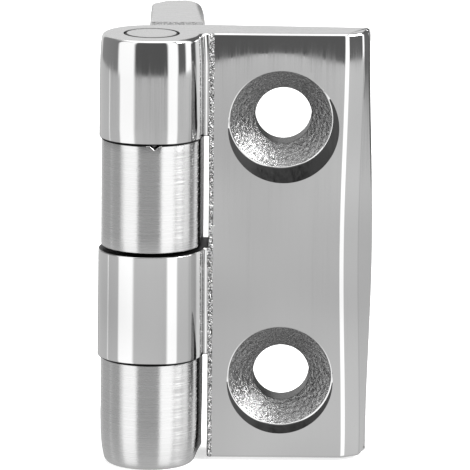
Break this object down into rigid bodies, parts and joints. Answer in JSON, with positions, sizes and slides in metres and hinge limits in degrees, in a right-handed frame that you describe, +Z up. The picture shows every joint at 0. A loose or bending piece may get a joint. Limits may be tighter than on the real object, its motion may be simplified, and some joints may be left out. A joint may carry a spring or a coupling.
{
  "type": "butt hinge",
  "caption": "Cast stainless steel butt hinge with two thick leaves, interlocking knuckles on a plain pin and countersunk screw holes.",
  "frame": {"origin": "under the middle of the folded hinge's bounding box, at the foot of the barrel", "axes": "+Z up along the pin, +X from the barrel to the front leaf's free edge, -Y out of the front leaf's polished face, +Y along the rear leaf"},
  "size_m": [0.0313, 0.0313, 0.0497],
  "materials": {
    "polished_steel": "mirror polished, with as-cast countersinks",
    "satin_steel": "turned satin on the knuckles",
    "ground_steel": "ground end"
  },
  "bodies": {
    "front": {"front_leaf": "polished_steel", "hinge_pin": "ground_steel"},
    "rear": {"rear_leaf": "satin_steel"}
  },
  "joints": [
    {"name": "leaf_swing", "type": "hinge", "parent": "front", "child": "rear", "pos_m": [-0.00965, -0.00965, 0.0248], "axis": [0, 0, 1], "range_deg": [-4, 264]}
  ]
}
